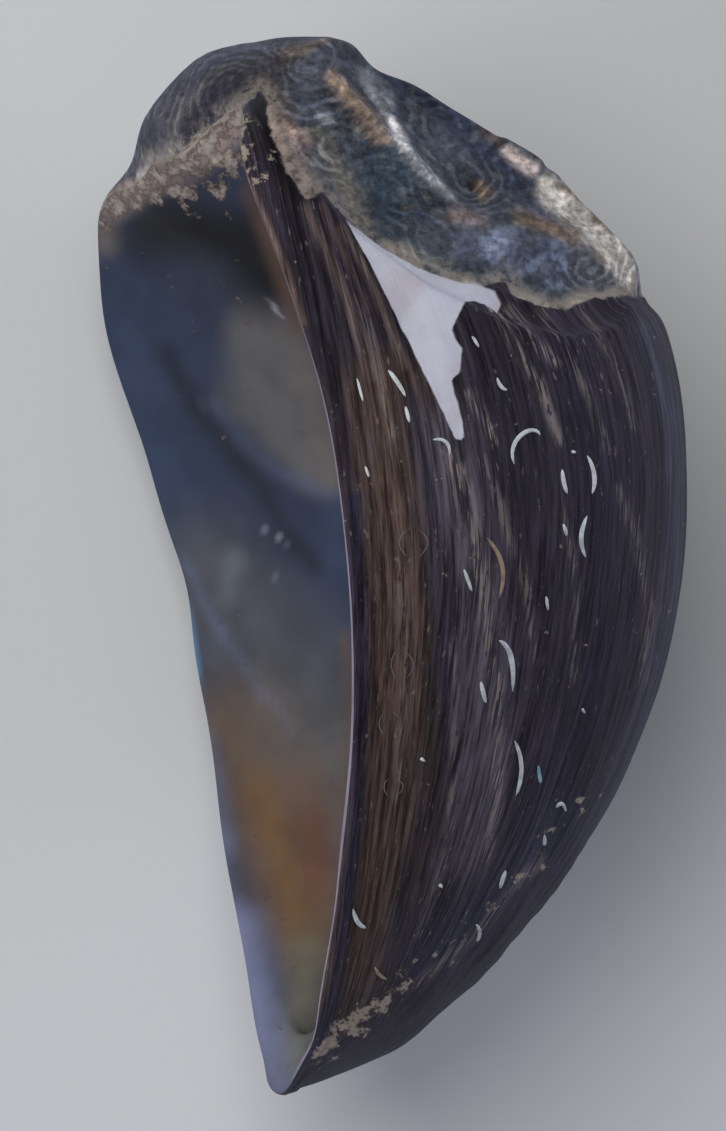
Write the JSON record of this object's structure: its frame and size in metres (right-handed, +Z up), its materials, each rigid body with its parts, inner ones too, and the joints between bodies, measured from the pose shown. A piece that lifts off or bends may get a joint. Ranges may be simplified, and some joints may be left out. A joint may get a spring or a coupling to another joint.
{
  "type": "nerite shell",
  "caption": "Dark freshwater nerite shell lying on its flank: deep dome, half-moon mouth with a toothed deck, worn pale spire and a bare white patch.",
  "frame": {"origin": "centre of the bounding box, on the surface that the shell lies on", "axes": "+Y from the base tip to the worn spire, -X out of the mouth, +Z up, away from the flank that the shell lies on"},
  "size_m": [0.0154, 0.0292, 0.0267],
  "materials": {
    "shell": "satin"
  },
  "bodies": {
    "root": {"nerite_shell": "shell"}
  },
  "joints": []
}
